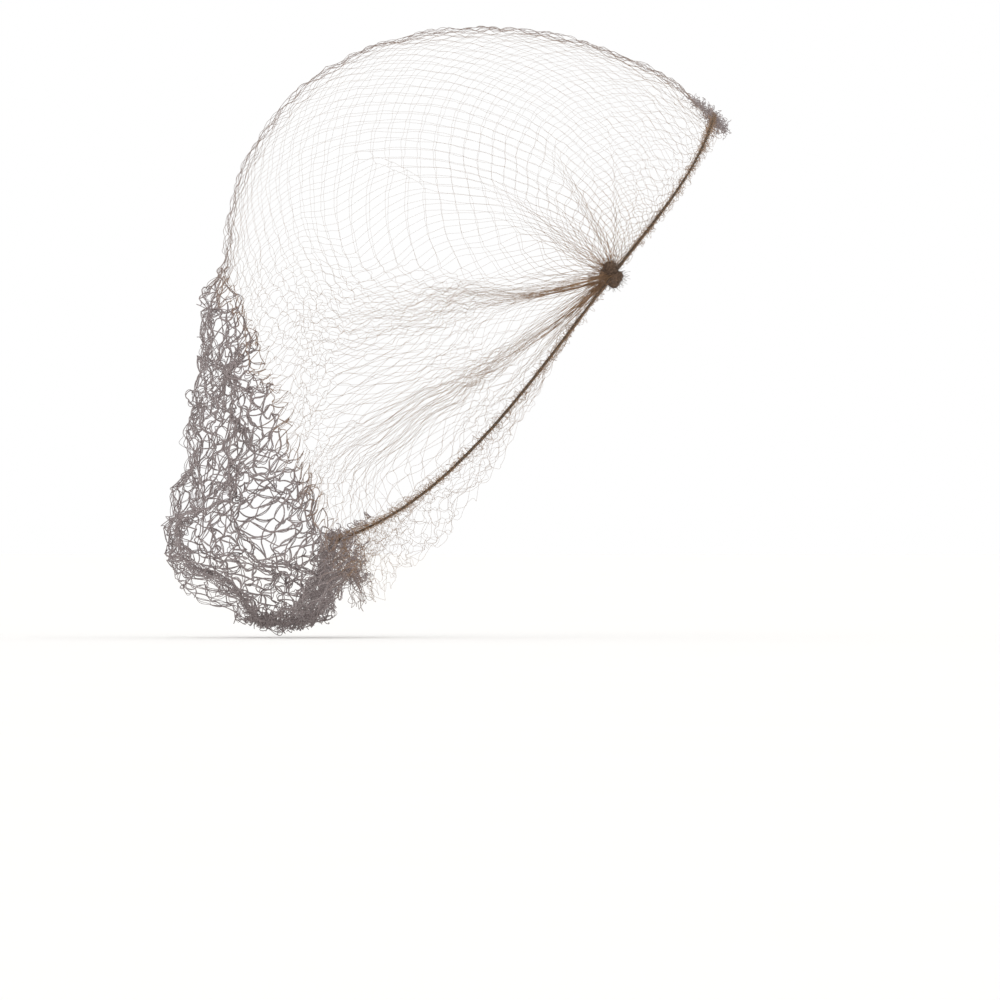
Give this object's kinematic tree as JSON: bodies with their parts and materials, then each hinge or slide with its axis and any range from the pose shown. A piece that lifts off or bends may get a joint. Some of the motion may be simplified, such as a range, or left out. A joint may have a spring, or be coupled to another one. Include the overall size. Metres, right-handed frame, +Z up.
{
  "type": "hairnet",
  "caption": "Fine brown hairnet for the whole head, gathered into a bound knot at each temple, with an elastic edge, a loose pouch behind the nape and a frilled border.",
  "frame": {"origin": "where the top of the wearer's head meets the inside of the crown", "axes": "+Z up, +X the way the wearer faces, +Y towards the wearer's left, with the right knot at -Y"},
  "size_m": [0.1898, 0.1494, 0.2055],
  "materials": {
    "net_thread": "fine twisted synthetic thread, matt with a faint sheen",
    "elastic_cord": "thin covered elastic cord, matt",
    "binding_thread": "tightly wound dark brown thread, matt"
  },
  "bodies": {
    "root": {"net": "net_thread", "front_elastic": "elastic_cord", "nape_elastic": "elastic_cord", "knot_right": "binding_thread", "knot_left": "binding_thread"}
  },
  "joints": []
}
